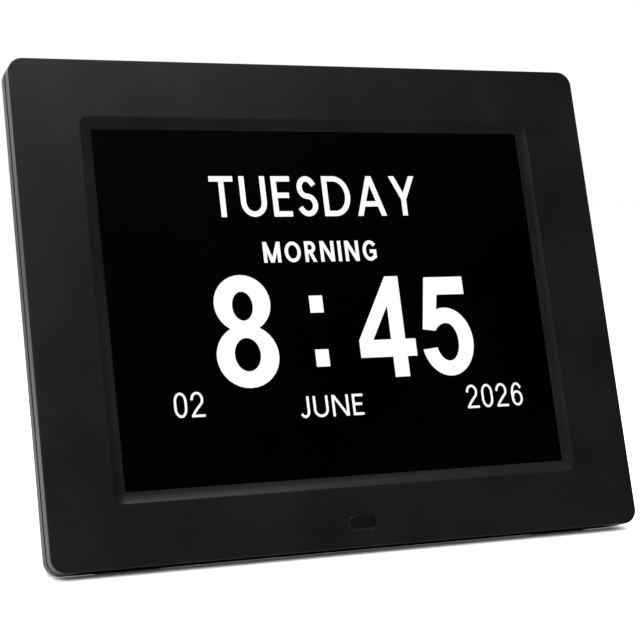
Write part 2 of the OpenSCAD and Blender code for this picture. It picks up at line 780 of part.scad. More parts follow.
module lcd_clips() {
    color(steel_grey) in_case()
        for (sx = [0, 1], sv = [-1, 1])
            mirror([sx, 0, 0]) difference() {
                block(lcd_w / 2 - clip_reach, clip_x + clip_boss_r, lcd_back_u, lcd_back_u + clip_t,
                    sv * clip_v - clip_w / 2, sv * clip_v + clip_w / 2);
                bar(small_screw_r + screw_gap, lcd_back_u - 1, lcd_back_u + clip_t + 1, clip_x,
                    sv * clip_v);
            }
}

module lcd_clip_screws() {
    color(steel_grey) in_case()
        for (sx = [-1, 1], sv = [-1, 1])
            screw(small_screw_r, small_head_r, small_head_h, small_screw_len, lcd_back_u + clip_t, -1,
                sx * clip_x, sv * clip_v);
}

module lcd_ribbon() {
    color("#b8742a") in_case() ribbon(lcd_ribbon_route, ribbon_t, lcd_ribbon_w, lcd_socket_x);
}

// The outside of the raised housing
module housing_outside() {
    hull() {
        panel(housing_w, housing_h, housing_corner_r, edge_u - border_t / 2, edge_u);
        panel(housing_w - 2 * housing_taper, housing_h - 2 * housing_taper,
            housing_corner_r - housing_taper, shoulder_u, shoulder_u + eps, $fn = hull_fn);
        panel(housing_back_w, housing_h - 2 * housing_taper - 2 * housing_bevel,
            housing_corner_r - housing_taper, back_u - eps, back_u, $fn = hull_fn);
    }
}

// The space inside the raised housing
module housing_inside() {
    foot = housing_wall;
    top = taper_at(back_in_u) + housing_wall;
    hull() {
        panel(housing_w - 2 * foot, housing_h - 2 * foot, housing_corner_r - foot,
            border_in_u - 1, edge_u, $fn = hull_fn);
        panel(housing_w - 2 * top, housing_h - 2 * top, housing_corner_r - housing_taper,
            back_in_u - eps, back_in_u, $fn = hull_fn);
    }
}

// The walls that the housing's inside keeps round the leg's well and the port bay
module inner_walls() {
    block(-well_half_w - well_wall, well_half_w + well_wall, well_u - well_wall, far,
        -far, well_top_v + well_wall);
    block(-well_half_w - well_wall, well_half_w + well_wall, stop_u - well_wall, far,
        stop_low_v - well_wall, well_top_v + well_wall);
    for (sx = [0, 1])
        mirror([sx, 0, 0])
            block(well_half_w, pin_half_len + pin_block_wall, hinge_u - leg_t / 2 - 1, far,
                hinge_v - leg_t / 2 - pin_block_wall, hinge_v + leg_t / 2 + pin_block_wall);
    block(port_x - bay_wall, far, bay_u - bay_wall, far, bay_v0 - bay_wall, bay_v1 + bay_wall);
}

// The well that the folded leg lies in, with the heel's pocket at its top
module leg_well() {
    block(-well_half_w, well_half_w, well_u, far, -far, well_top_v);
    block(-well_half_w, well_half_w, stop_u, far, stop_low_v, well_top_v);
}

module keyhole() {
    stand_up(back_in_u - 1, back_u + 1) {
        circle(keyhole_slot_r);
        translate([-keyhole_slot_r, -keyhole_drop]) square([2 * keyhole_slot_r, keyhole_drop]);
        translate([0, -keyhole_drop]) circle(keyhole_entry_r);
    }
}

module grille() {
    row = grille_pitch * sqrt(3) / 2;
    for (j = [-grille_rings:grille_rings])
        for (i = [0:2 * grille_rings - abs(j)])
            bar(grille_r, back_in_u - 1, back_u + 1,
                speaker_x + (i - grille_rings + abs(j) / 2) * grille_pitch, speaker_v + j * row);
}

module vents() {
    for (i = [0:vent_count - 1], s = [1, -1])
        let (x = s * vent_x + (i - (vent_count - 1) / 2) * vent_pitch)
            block(x - vent_w / 2, x + vent_w / 2, back_in_u - 1, back_u + 1,
                vent_v - vent_len / 2, vent_v + vent_len / 2);
}

// A hole in the port wall for a socket of the given width and height off the board
module port_hole(v, w, h) {
    block(port_x - bay_wall - 1, port_x + 1, board_back_u - port_gap, board_back_u + h + port_gap,
        v - w / 2 - port_gap, v + w / 2 + port_gap);
}

module rear_cover() {
    color(case_black) in_case() difference() {
        union() {
            difference() {
                union() {
                    panel(case_w - 2 * groove_depth, case_h - 2 * groove_depth,
                        case_corner_r - groove_depth, front_depth, front_depth + groove_w);
                    panel(case_w, case_h, case_corner_r, front_depth + groove_w, edge_u);
                    housing_outside();
                }
                panel(case_w - 2 * wall, case_h - 2 * wall, case_corner_r - wall,
                    front_depth - 1, border_in_u);
                difference() {
                    housing_inside();
                    inner_walls();
                }
            }
            for (sx = [-1, 1], sv = [-1, 1])
                bar(case_boss_r + head_gap, case_boss_top_u, border_in_u + eps, sx * case_screw_x,
                    sv * case_screw_v);
            for (sx = [-1, 1], sv = [-1, 1])
                bar(post_r, board_back_u, back_in_u + eps, board_x + sx * board_post_x,
                    board_v + sv * board_post_v);
            for (s = [-1, 1])
                bar(post_r, key_back_u, back_in_u + eps, s * key_post_x, button_v);
            speaker_seat();
        }
        leg_well();
        translate([0, hinge_u, hinge_v]) rotate([0, 90, 0])
            cylinder(r = pin_r + pin_seat_clearance, h = 2 * pin_half_len, center = true);
        block(port_x, far, bay_u, far, bay_v0, bay_v1);
        port_hole(power_v, power_w, power_h);
        port_hole(usb_v, usb_w, usb_h);
        port_hole(card_v, card_w, card_h);
        for (sx = [-1, 1], sv = [-1, 1]) {
            bar(case_screw_r + screw_gap, 0, far, sx * case_screw_x, sv * case_screw_v);
            bar(case_head_r + head_gap, head_seat_u, far, sx * case_screw_x, sv * case_screw_v);
            bar(small_screw_r + screw_gap, 0, board_back_u + small_screw_len + tip_gap,
                board_x + sx * board_post_x, board_v + sv * board_post_v);
        }
        for (s = [-1, 1])
            bar(small_screw_r + screw_gap, 0, key_back_u + small_screw_len + tip_gap,
                s * key_post_x, button_v);
        for (s = [-1, 1])
            bar(small_screw_r + screw_gap, 0, back_in_u + 1, speaker_x, speaker_v + s * speaker_ear);
        for (i = [0:button_count - 1])
            bar(button_r + button_gap, back_in_u - eps, far, button_x(i), button_v);
        for (s = [-1, 1])
            translate([s * keyhole_spacing / 2, 0, keyhole_v]) keyhole();
        vents();
        grille();
    }
}

// The raised ring and ear posts that the speaker is screwed to
module speaker_seat() {
    top = back_in_u - speaker_seat_h;
    difference() {
        bar(speaker_r, top, back_in_u + eps, speaker_x, speaker_v);
        bar(speaker_r - seat_inset, top - 1, back_in_u, speaker_x, speaker_v);
    }
    for (s = [-1, 1])
        bar(ear_r, top, back_in_u + eps, speaker_x, speaker_v + s * speaker_ear);
}

module case_screws() {
    color(steel_grey) in_case()
        for (sx = [-1, 1], sv = [-1, 1])
            screw(case_screw_r, case_head_r, case_head_h, case_screw_len, head_seat_u, -1,
                sx * case_screw_x, sv * case_screw_v);
}

// What lies under the table top, as a cutter
module under_table() {
    translate([-far, -far, -2 * far]) cube([2 * far, 2 * far, 2 * far]);
}

module case_feet() {
    color("#101010") difference() {
        in_case()
            for (s = [-1, 1])
                block(s * foot_x - foot_w / 2, s * foot_x + foot_w / 2, edge_u, edge_u + foot_d,
                    -far, -case_h / 2 + foot_grip);
        under_table();
    }
}

// The main board and what stands on it
module main_board() {
    color(board_green) in_case() difference() {
        block(board_x - board_w / 2, board_x + board_w / 2, board_u, board_back_u,
            board_v - board_h / 2, board_v + board_h / 2);
        for (sx = [-1, 1], sv = [-1, 1])
            bar(small_screw_r + 2 * screw_gap, board_u - 1, board_back_u + 1,
                board_x + sx * board_post_x, board_v + sv * board_post_v);
    }
}

module board_screws() {
    color(steel_grey) in_case()
        for (sx = [-1, 1], sv = [-1, 1])
            screw(small_screw_r, small_head_r, small_head_h, board_t + small_screw_len, board_u, 1,
                board_x + sx * board_post_x, board_v + sv * board_post_v);
}

// A flat-backed part on the front or the back of the main board
module on_front(w, h, t, x, v) {
    block(x - w / 2, x + w / 2, board_u - t, board_u, v - h / 2, v + h / 2);
}

module on_back(w, h, t, x, v) {
    block(x - w / 2, x + w / 2, board_back_u, board_back_u + t, v - h / 2, v + h / 2);
}

module processor_chip() {
    color("#1e1f21") in_case() on_front(cpu_w, cpu_w, cpu_t, board_x, chips_v);
}

module memory_chips() {
    color("#1e1f21") in_case()
        for (s = [0, 1])
            on_front(memory_w, memory_l, memory_t, memory_x + s * memory_pitch, chips_v);
}

module board_capacitors() {
    color("#aeb2b8") in_case()
        for (i = [-1:1])
            bar(capacitor_r, board_back_u, board_back_u + capacitor_h, capacitor_x,
                cell_v + i * capacitor_pitch);
}

module board_coils() {
    color("#3a3a3c") in_case()
        for (i = [0, 1])
            on_back(coil_w, coil_w, coil_h, coil_x, card_v + i * coil_pitch);
}

module cable_headers() {
    color(header_white) in_case() {
        on_front(header_d, header_w, header_h, speaker_header.x, speaker_header.y);
        on_front(header_w, header_d, header_h, ir_header.x, ir_header.y);
        on_front(key_cable_w + 2, header_d, header_h, key_header.x, key_header.y);
        block(key_header.x - key_cable_w / 2 - 1, key_header.x + key_cable_w / 2 + 1,
            key_u - header_h, key_u, key_header_top_v - header_d, key_header_top_v);
    }
}

module ribbon_socket() {
    color(header_white) in_case()
        on_front(lcd_ribbon_w + header_d, lcd_socket_d, lcd_socket_h, lcd_socket_x,
            lcd_socket_v + lcd_socket_d / 2);
}

module power_socket() {
    color("#17171a") in_case() {
        difference() {
            block(port_x - socket_len, port_x, board_back_u, board_back_u + power_h,
                power_v - power_w / 2, power_v + power_w / 2);
            translate([port_x - socket_len + socket_back, board_back_u + power_h / 2, power_v])
                rotate([0, 90, 0]) cylinder(r = power_hole_r, h = socket_len);
        }
        translate([port_x - socket_len + socket_back - eps, board_back_u + power_h / 2, power_v])
            rotate([0, 90, 0]) cylinder(r = power_pin_r, h = socket_len - socket_back - 1);
    }
}

module usb_socket() {
    tongue_top_u = board_back_u + usb_h - shell_t - tongue_gap;
    color(steel_grey) in_case() {
        difference() {
            block(port_x - socket_len, port_x, board_back_u, board_back_u + usb_h,
                usb_v - usb_w / 2, usb_v + usb_w / 2);
            block(port_x - socket_len + socket_back, port_x + 1, board_back_u + shell_t,
                board_back_u + usb_h - shell_t, usb_v - usb_w / 2 + shell_t, usb_v + usb_w / 2 - shell_t);
        }
        block(port_x - socket_len + socket_back - eps, port_x - tongue_inset, tongue_top_u - tongue_t,
            tongue_top_u, usb_v - usb_w / 2 + tongue_inset, usb_v + usb_w / 2 - tongue_inset);
    }
}

module card_slot() {
    color(steel_grey) in_case() difference() {
        block(port_x - card_len, port_x, board_back_u, board_back_u + card_h,
            card_v - card_w / 2, card_v + card_w / 2);
        block(port_x - card_len + card_rail, port_x + 1, board_back_u + shell_t,
            board_back_u + card_h - shell_t, card_v - card_w / 2 + card_rail,
            card_v + card_w / 2 - card_rail);
    }
}

// The coin cell and its holder
module coin_cell_holder() {
    color("#2c2c30") in_case() difference() {
        bar(cell_holder_r, board_back_u, board_back_u + cell_holder_wall + cell_t,
            cell_x, cell_v);
        bar(cell_r + cell_gap, board_back_u + cell_holder_wall, far, cell_x, cell_v);
    }
}

module coin_cell() {
    color("#c9cbcd") in_case()
        bar(cell_r, board_back_u + cell_holder_wall, board_back_u + cell_holder_wall + cell_t,
            cell_x, cell_v);
}

// The button board, its switches and the buttons
module key_board() {
    color(board_green) in_case() difference() {
        block(-key_board_w / 2, key_board_w / 2, key_u, key_back_u,
            button_v - key_board_h / 2, button_v + key_board_h / 2);
        for (s = [-1, 1])
            bar(small_screw_r + 2 * screw_gap, key_u - 1, key_back_u + 1, s * key_post_x, button_v);
    }
}

module key_board_screws() {
    color(steel_grey) in_case()
        for (s = [-1, 1])
            screw(small_screw_r, small_head_r, small_head_h, board_t + small_screw_len, key_u, 1,
                s * key_post_x, button_v);
}

module key_switches() {
    color("#2a2a2d") in_case()
        for (i = [0:button_count - 1])
            difference() {
                block(button_x(i) - switch_w / 2, button_x(i) + switch_w / 2, key_back_u, switch_top_u,
                    button_v - switch_w / 2, button_v + switch_w / 2);
                bar(plunger_r + button_gap, switch_top_u - button_travel - 1, far, button_x(i), button_v);
            }
}

module button(i) {
    color("#232326") in_case() {
        bar(button_r, button_flange_u + eps, back_u + button_out, button_x(i), button_v);
        bar(button_r + button_flange, button_flange_u, button_flange_u + button_flange_t,
            button_x(i), button_v);
    }
}

module plunger(i) {
    color("#e0ddd0") in_case()
        bar(plunger_r, switch_top_u - plunger_in, plunger_top_u, button_x(i), button_v);
}

module power_button() button(0);
module menu_button() button(1);
module up_button() button(2);
module down_button() button(3);
module left_button() button(4);
module right_button() button(5);
module power_plunger() plunger(0);
module menu_plunger() plunger(1);
module up_plunger() plunger(2);
module down_plunger() plunger(3);
module left_plunger() plunger(4);
module right_plunger() plunger(5);

module key_cable() {
    color("#d8d4c6") in_case() ribbon(key_cable_route, ribbon_t, key_cable_w, key_header.x);
}

// The speaker
module speaker_basket() {
    floor_r = magnet_r + 1;
    color("#3b3b3e") in_case() difference() {
        union() {
            translate([speaker_x, 0, speaker_v]) rotate([-90, 0, 0]) rotate_extrude()
                polygon([
                    [0, basket_u], [floor_r, basket_u], [speaker_r - 1, speaker_rim_u],
                    [speaker_r, speaker_rim_u], [speaker_r, speaker_rim_u + speaker_rim_t],
                    [speaker_r - seat_inset, speaker_rim_u + speaker_rim_t],
                    [floor_r - basket_t / 2, basket_u + basket_t], [0, basket_u + basket_t],
                ]);
            for (s = [-1, 1])
                bar(ear_r, speaker_rim_u, speaker_rim_u + speaker_rim_t, speaker_x,
                    speaker_v + s * speaker_ear);
            for (s = [0, 1])
                translate([speaker_x, 0, speaker_v]) mirror([0, 0, s])
                    block(-ear_arm_half_w, ear_arm_half_w, speaker_rim_u, speaker_rim_u + speaker_rim_t,
                        speaker_r - speaker_rim_t / 2, speaker_ear);
        }
        for (s = [-1, 1])
            bar(small_screw_r + 2 * screw_gap, 0, far, speaker_x, speaker_v + s * speaker_ear);
    }
}

module speaker_cone() {
    skin = 0.5;
    rim_r = speaker_r - seat_inset - skin;
    dome_r = magnet_r / 2;
    rim_u = speaker_rim_u + speaker_rim_t - cone_sink;
    low_u = rim_u - cone_depth;
    dome_u = low_u + dome_rise;
    color("#26262a") in_case() translate([speaker_x, 0, speaker_v]) rotate([-90, 0, 0]) rotate_extrude()
        polygon([
            [0, dome_u], [dome_r, low_u], [rim_r - surround_w, rim_u], [rim_r, rim_u],
            [rim_r, rim_u + skin], [rim_r - surround_w, rim_u + skin], [dome_r, low_u + skin],
            [0, dome_u + skin],
        ]);
}

module speaker_magnet() {
    color("#8d9094") in_case() bar(magnet_r, magnet_u, basket_u, speaker_x, speaker_v);
}

module speaker_screws() {
    color(steel_grey) in_case()
        for (s = [-1, 1])
            screw(small_screw_r, small_head_r, small_head_h, speaker_rim_t + speaker_seat_h + tip_gap,
                speaker_rim_u, 1, speaker_x, speaker_v + s * speaker_ear);
}

module speaker_wires() {
    color("#a32020") in_case()
        for (s = [-1, 1])
            translate([0, 0, s * wire_pitch / 2]) wire(speaker_route, wire_r);
}

// The infrared receiver
module ir_board() {
    color(board_green) in_case() difference() {
        block(-ir_board_w / 2, ir_board_w / 2, ir_board_u, ir_board_u + ir_board_t,
            -ir_v - ir_board_h / 2, -ir_v + ir_board_h / 2);
        for (s = [-1, 1])
            bar(ir_pin_r + screw_gap, 0, far, s * ir_post_x, -ir_v);
    }
}

module ir_receiver() {
    color("#141416") in_case() {
        block(-receiver_w / 2, receiver_w / 2, ir_board_u - receiver_t, ir_board_u,
            -ir_v - receiver_w / 2, -ir_v + receiver_w / 2);
        bar(receiver_lens_r, ir_board_u - receiver_t - receiver_lens_h, ir_board_u - receiver_t + eps,
            0, -ir_v);
    }
}

module ir_wires() {
    color("#c8a13a") in_case()
        for (s = [-1, 1])
            translate([s * wire_pitch / 2, 0, 0]) wire(ir_route, wire_r);
}

// The folding leg, drawn hanging from its hinge along v
module stand_leg() {
    color(case_black) in_leg() difference() {
        union() {
            rotate([0, 90, 0]) cylinder(d = leg_t, h = leg_w, center = true);
            block(-leg_w / 2, leg_w / 2, -leg_t / 2, leg_t / 2, 0, heel_h);
            stand_up(-leg_t / 2, leg_t / 2) leg_outline();
        }
        difference() {
            block(-leg_w / 2 + leg_rim, leg_w / 2 - leg_rim, -leg_t / 2 - 1, -leg_t / 2 + leg_hollow,
                -leg_len + leg_rim, -leg_t - leg_rim);
            for (i = [1, 2])
                block(-leg_w, leg_w, -leg_t, leg_t, -leg_len * i / 3 - leg_rim / 4,
                    -leg_len * i / 3 + leg_rim / 4);
        }
        rotate([0, 90, 0]) cylinder(r = pin_r + pin_clearance, h = leg_w + 2, center = true);
    }
}

module leg_outline() {
    translate([-leg_w / 2, -leg_len + leg_corner_r]) square([leg_w, leg_len - leg_corner_r]);
    translate([-leg_w / 2 + leg_corner_r, -leg_len]) square([leg_w - 2 * leg_corner_r, leg_len]);
    for (s = [-1, 1])
        translate([s * (leg_w / 2 - leg_corner_r), -leg_len + leg_corner_r]) circle(leg_corner_r);
}

module stand_hinge_pin() {
    color(steel_grey) in_case() translate([0, hinge_u, hinge_v]) rotate([0, 90, 0])
        cylinder(r = pin_r, h = 2 * (pin_half_len - pin_end_gap), center = true);
}

module stand_foot_pad() {
    color("#101010") difference() {
        in_leg() block(-leg_pad_w / 2, leg_pad_w / 2, -pad_half_t, pad_half_t, -leg_len - leg_t, -leg_len);
        under_table();
    }
}

front_bezel();
ir_window();
display_gasket();
lcd_glass();
lcd_backlight();
lcd_frame();
lcd_clips();
lcd_clip_screws();
lcd_ribbon();
rear_cover();
case_screws();
case_feet();
main_board();
board_screws();
processor_chip();
memory_chips();
board_capacitors();
board_coils();
cable_headers();
ribbon_socket();
power_socket();
usb_socket();
card_slot();
coin_cell_holder();
coin_cell();
key_board();
key_board_screws();
key_switches();
power_button();
menu_button();
up_button();
down_button();
left_button();
right_button();
power_plunger();
menu_plunger();
up_plunger();
down_plunger();
left_plunger();
right_plunger();
key_cable();
speaker_basket();
speaker_cone();
speaker_magnet();
speaker_screws();
speaker_wires();
ir_board();
ir_receiver();
ir_wires();
stand_leg();
stand_hinge_pin();
stand_foot_pad();
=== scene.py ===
import json
import math

import bmesh
import bpy
from mathutils import Matrix, Vector


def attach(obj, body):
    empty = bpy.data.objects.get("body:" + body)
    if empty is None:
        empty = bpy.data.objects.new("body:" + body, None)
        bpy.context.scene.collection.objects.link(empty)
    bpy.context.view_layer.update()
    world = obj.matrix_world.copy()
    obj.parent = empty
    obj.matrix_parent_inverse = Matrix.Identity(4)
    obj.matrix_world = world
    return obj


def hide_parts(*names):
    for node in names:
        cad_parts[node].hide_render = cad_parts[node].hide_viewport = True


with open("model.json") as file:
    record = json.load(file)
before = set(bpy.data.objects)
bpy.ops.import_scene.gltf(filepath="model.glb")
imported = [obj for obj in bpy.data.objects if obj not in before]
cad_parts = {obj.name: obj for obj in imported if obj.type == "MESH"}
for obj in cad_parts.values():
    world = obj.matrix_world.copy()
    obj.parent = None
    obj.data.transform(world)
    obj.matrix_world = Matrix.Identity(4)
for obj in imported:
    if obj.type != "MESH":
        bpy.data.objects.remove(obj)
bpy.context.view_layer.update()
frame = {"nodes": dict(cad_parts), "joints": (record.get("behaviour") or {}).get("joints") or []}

MM = 0.001

# ---------------------------------------------------------------- places
# The buttons are pressed square to the case, so their axis gives the case's lean. In the case's own
# directions, in millimetres, x is across, u is back from the front face and v is up along it.
press = next(joint for joint in frame["joints"] if joint["name"] == "power_press")
LEAN = math.asin(press["axis"][2])
METRES = Matrix.Scale(MM, 4)


def corners(node, place):
    """A CAD node's lowest and highest corners in the directions that place leads from."""
    back = place.inverted()
    points = [back @ vertex.co for vertex in frame["nodes"][node].data.vertices]
    low = Vector([min(point[axis] for point in points) for axis in range(3)])
    high = Vector([max(point[axis] for point in points) for axis in range(3)])
    return low, high


upright = Matrix.Rotation(-LEAN, 4, "X") @ METRES
bezel_low, bezel_high = corners("front_bezel", upright)
CASE = upright @ Matrix.Translation((0, bezel_low.y, (bezel_low.z + bezel_high.z) / 2))


# ---------------------------------------------------------------- materials
def hex_colour(text):
    """An sRGB hex value as a linear colour."""
    parts = [int(text[i:i + 2], 16) / 255 for i in (0, 2, 4)]
    return [c / 12.92 if c <= 0.04045 else ((c + 0.055) / 1.055) ** 2.4 for c in parts] + [1.0]


def add(tree, kind, inputs=None, **settings):
    """Adds a node with its settings. Each input takes a value or another node's output."""
    node = tree.nodes.new("ShaderNode" + kind)
    for name, value in settings.items():
        setattr(node, name, value)
    for key, value in (inputs or {}).items():
        if isinstance(value, bpy.types.NodeSocket):
            tree.links.new(value, node.inputs[key])
        else:
            node.inputs[key].default_value = value
    return node


def new_material(name):
    material = bpy.data.materials.new(name)
    material.use_nodes = True
    material.node_tree.nodes.clear()
    return material


def tint(tree, fac, dark, light, spread=0.15):
    """Runs from one hex colour to another round the middle of a pattern."""
    ramp = add(tree, "ValToRGB", {"Fac": fac}).color_ramp
    ramp.elements[0].position = 0.5 - spread
    ramp.elements[0].color = hex_colour(dark)
    ramp.elements[1].position = 0.5 + spread
    ramp.elements[1].color = hex_colour(light)
    return tree.nodes[-1].outputs["Color"]


def noise(tree, size, detail=3.0, stretch=(1, 1, 1)):
    """A cloudy pattern whose spots are about size millimetres across."""
    place = add(tree, "TexCoord").outputs["Object"]
    place = add(tree, "Mapping", {"Vector": place, "Scale": stretch}).outputs["Vector"]
    cloud = {"Vector": place, "Scale": 1 / (size * MM), "Detail": detail}
    return add(tree, "TexNoise", cloud).outputs["Fac"]


def stripes(tree, pitch):
    """Even stripes across the case, pitch millimetres apart: a wave of scale 1 repeats every 0.314."""
    place = add(tree, "TexCoord").outputs["Object"]
    wave = {"Vector": place, "Scale": 0.314 / (pitch * MM)}
    return add(tree, "TexWave", wave, bands_direction="X").outputs["Fac"]


def shade(tree, colour, height, relief, roughness, spread, sockets):
    """The shader at the end of a material: relief is in millimetres, spread is how far gloss varies."""
    gloss = add(tree, "MapRange", {
        "Value": height, "From Min": 0.3, "From Max": 0.7,
        "To Min": roughness - spread, "To Max": roughness + spread}).outputs["Result"]
    bump = add(tree, "Bump", {"Height": height, "Distance": relief * MM}).outputs["Normal"]
    shader = add(tree, "BsdfPrincipled", {
        "Base Color": colour, "Roughness": gloss, "Normal": bump, **sockets})
    add(tree, "OutputMaterial", {"Surface": shader.outputs["BSDF"]})


def grained(name, dark, light, grain, relief, roughness, spread, patch=None, **sockets):
    """A surface with one fine grain, in millimetres, and broader patches of tone."""
    material = new_material(name)
    tree = material.node_tree
    colour = tint(tree, noise(tree, patch or 30 * grain, 2.0), dark, light)
    sockets = {key.replace("_", " "): value for key, value in sockets.items()}
    shade(tree, colour, noise(tree, grain), relief, roughness, spread, sockets)
    return material


def case_plastic():
    # Black ABS, injection moulded in a spark-eroded tool: satin, with a fine even grain.
    # The real grain is about 0.05 mm and is drawn four times as coarse so that it shows.
    return grained("moulded_black_abs", "0f0f10", "151516", 0.2, 0.004, 0.3, 0.04, 25,
                   Specular_IOR_Level=0.24)


def button_plastic():
    # The same ABS from a polished tool: darker and glossier than the case.
    return grained("polished_black_abs", "0c0c0d", "111112", 0.3, 0.001, 0.28, 0.03, 8,
                   Specular_IOR_Level=0.4)


def smoked_window():
    # Smoked polycarbonate, polished: almost black, with a clear highlight on its rim.
    return grained("smoked_polycarbonate", "0e0e0c", "121210", 2.0, 0.0005, 0.12, 0.02, 4,
                   Specular_IOR_Level=0.5)


def display_glass():
    # Glass under an anti-reflection polariser film: black when dark, with hardly any reflection.
    return grained("polariser_film", "000000", "010101", 0.5, 0.0004, 0.3, 0.03, 60,
                   Specular_IOR_Level=0.03)


def black_foam():
    # Closed-cell foam tape: dull, with cells about 0.4 mm across.
    return grained("closed_cell_foam", "141414", "232323", 0.4, 0.08, 0.9, 0.05)


def light_guide():
    # White acrylic light guide with its reflector sheet: smooth and slightly soft in colour.
    return grained("white_acrylic", "eeeeea", "f6f6f2", 1.0, 0.002, 0.35, 0.05)


def plated_steel():
    # Zinc-plated steel sheet: bright, with the faint streaks of rolling.
    material = new_material("zinc_plated_steel")
    tree = material.node_tree
    streaks = noise(tree, 0.6, 4.0, (1, 12, 12))
    shade(tree, tint(tree, streaks, "a6aaae", "c2c5c8"), streaks, 0.003, 0.34, 0.08, {"Metallic": 1.0})
    return material


def screw_steel():
    # Nickel-plated steel screws, tumbled: bright with fine random marks.
    return grained("nickel_plated_steel", "a9a8a2", "c6c4bd", 0.25, 0.004, 0.3, 0.08, 1.5, Metallic=1.0)


def flat_cable():
    # Polyimide flat cable: amber film over copper lines, one every millimetre.
    material = new_material("polyimide_film")
    tree = material.node_tree
    lines = stripes(tree, 1)
    shade(tree, tint(tree, lines, "9a5a1c", "c8853a"), lines, 0.03, 0.35, 0.05, {})
    return material


def black_rubber():
    # Moulded rubber: matt, slightly grey from dust.
    return grained("moulded_rubber", "101010", "1a1a1a", 0.3, 0.02, 0.8, 0.06, 6)


def circuit_board():
    # Fibreglass board under green solder mask, with tracks as raised lines 1.2 mm apart.
    material = new_material("solder_mask_board")
    tree = material.node_tree
    place = add(tree, "TexCoord").outputs["Object"]
    place = add(tree, "Mapping", {"Vector": place, "Rotation": (LEAN, 0, 0)}).outputs["Vector"]
    tracks = add(tree, "TexVoronoi", {"Vector": place, "Scale": 0.8 / MM, "Randomness": 0.35},
                 distance="MANHATTAN").outputs["Distance"]
    shade(tree, tint(tree, tracks, "2a6b42", "174a2b", 0.1), tracks, 0.03, 0.3, 0.05, {})
    return material


def chip_epoxy():
    # Black moulding epoxy of a chip: matt, with a fine mineral speckle.
    return grained("moulding_epoxy", "1c1d1f", "27282a", 0.15, 0.006, 0.6, 0.05, 0.6)


def can_aluminium():
    # Drawn aluminium can: bright, with fine rings from drawing.
    return grained("drawn_aluminium", "b9bcc0", "d0d2d4", 0.3, 0.003, 0.3, 0.06, 2, Metallic=1.0)


def header_nylon():
    # Natural nylon connector body: cream and slightly waxy.
    return grained("natural_nylon", "dcd8ca", "ebe8dd", 0.5, 0.005, 0.45, 0.05, Subsurface_Weight=0.1)


def socket_plastic():
    # Glass-filled black nylon of sockets and switches: dull with pale fibre flecks.
    return grained("glass_filled_nylon", "141415", "242426", 0.25, 0.01, 0.55, 0.08, 0.5)


def cone_paper():
    # Pressed paper cone: dark, fibrous and dull.
    return grained("pressed_paper", "1c1c1f", "303034", 0.6, 0.05, 0.85, 0.05, 1.2)


def wire_sleeve():
    # PVC wire sleeve: smooth and a little glossy.
    return grained("pvc_sleeve", "8d1b1b", "a82424", 0.8, 0.004, 0.4, 0.05, 5)


def lit_pixels():
    # Lit pixels of the display: white light, the same from every side, in columns 0.196 mm apart.
    material = new_material("lit_pixels")
    tree = material.node_tree
    cells = stripes(tree, 0.196)
    shader = add(tree, "BsdfPrincipled", {
        "Base Color": tint(tree, cells, "0a0a0a", "101010"), "Roughness": 0.5,
        "Emission Color": tint(tree, cells, "fafafa", "ffffff"), "Emission Strength": 1.0})
    add(tree, "OutputMaterial", {"Surface": shader.outputs["BSDF"]})
    return material


def printed_mark():
    # Pale grey pad-printed ink on the buttons: flat and slightly raised.
    return grained("pad_printing_ink", "a9a9a8", "b9b9b8", 0.1, 0.003, 0.6, 0.05, 1)


FINISHES = {maker.__name__: maker() for maker in (
    case_plastic, button_plastic, smoked_window, display_glass, black_foam, light_guide, plated_steel,
    screw_steel, flat_cable, black_rubber, circuit_board, chip_epoxy, can_aluminium, header_nylon,
    socket_plastic, cone_paper, wire_sleeve)}
PIXELS = lit_pixels()
INK = printed_mark()

# Every CAD node takes the finish of its own slot
for node, piece in frame["nodes"].items():
    for slot in piece.material_slots:
        slot.material = FINISHES[slot.material.name.split(".")[0]]


# ---------------------------------------------------------------- pieces
def new_piece(name, mesh, material, body, replaced=()):
    """A piece of the object: its mesh is already in place, in metres."""
    piece = bpy.data.objects.new(name, mesh)
    bpy.context.scene.collection.objects.link(piece)
    mesh.materials.clear()
    mesh.materials.append(material)
    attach(piece, body)
    if replaced:
        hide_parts(*replaced)
    return piece


def node_finish(node):
    """The name of the finish that a CAD node carries."""
    material = frame["nodes"][node].material_slots[0].material
    return next(name for name, finish in FINISHES.items() if finish == material)


# Points closer than WELD are one, faces that turn by less than FLAT are one face, and edges that turn
# by more than CREASE stay sharp
WELD = 0.01 * MM
FLAT = math.radians(0.5)
CREASE = math.radians(45)


def dressed(node, name, body, edge, segments=3, blunt=40, where=None):
    """A copy of a CAD node with its edges rounded, as a moulding's are. edge is in millimetres.

    Outer edges that turn by more than blunt degrees are rounded, and flat faces keep their flat shading.
    where takes an edge's middle in the case's directions and gives its share of the rounding.
    """
    mould = bmesh.new()
    mould.from_mesh(frame["nodes"][node].data)
    bmesh.ops.remove_doubles(mould, verts=mould.verts, dist=WELD)
    bmesh.ops.dissolve_limit(mould, angle_limit=FLAT, verts=mould.verts, edges=mould.edges)
    back = CASE.inverted()
    groups = {}
    for side in mould.edges:
        if side.is_convex and side.calc_face_angle(0) > math.radians(blunt):
            middle = back @ ((side.verts[0].co + side.verts[1].co) / 2)
            groups.setdefault(where(middle) if where else 1, []).append(side)
    for share in sorted(groups, reverse=True):
        if share:
            sides = [side for side in groups[share] if side.is_valid]
            bmesh.ops.bevel(mould, geom=sides, offset=edge * share * MM, segments=segments, profile=0.5,
                            affect="EDGES", material=-1, clamp_overlap=False)
    for face in mould.faces:
        face.smooth = True
    for side in mould.edges:
        side.smooth = side.is_manifold and side.calc_face_angle(0) < CREASE
    mesh = bpy.data.meshes.new(name)
    mould.to_mesh(mesh)
    mould.free()
    piece = new_piece(name, mesh, FINISHES[node_finish(node)], body, (node,))
    piece.modifiers.new("flat_faces", "WEIGHTED_NORMAL").keep_sharp = True
    return piece


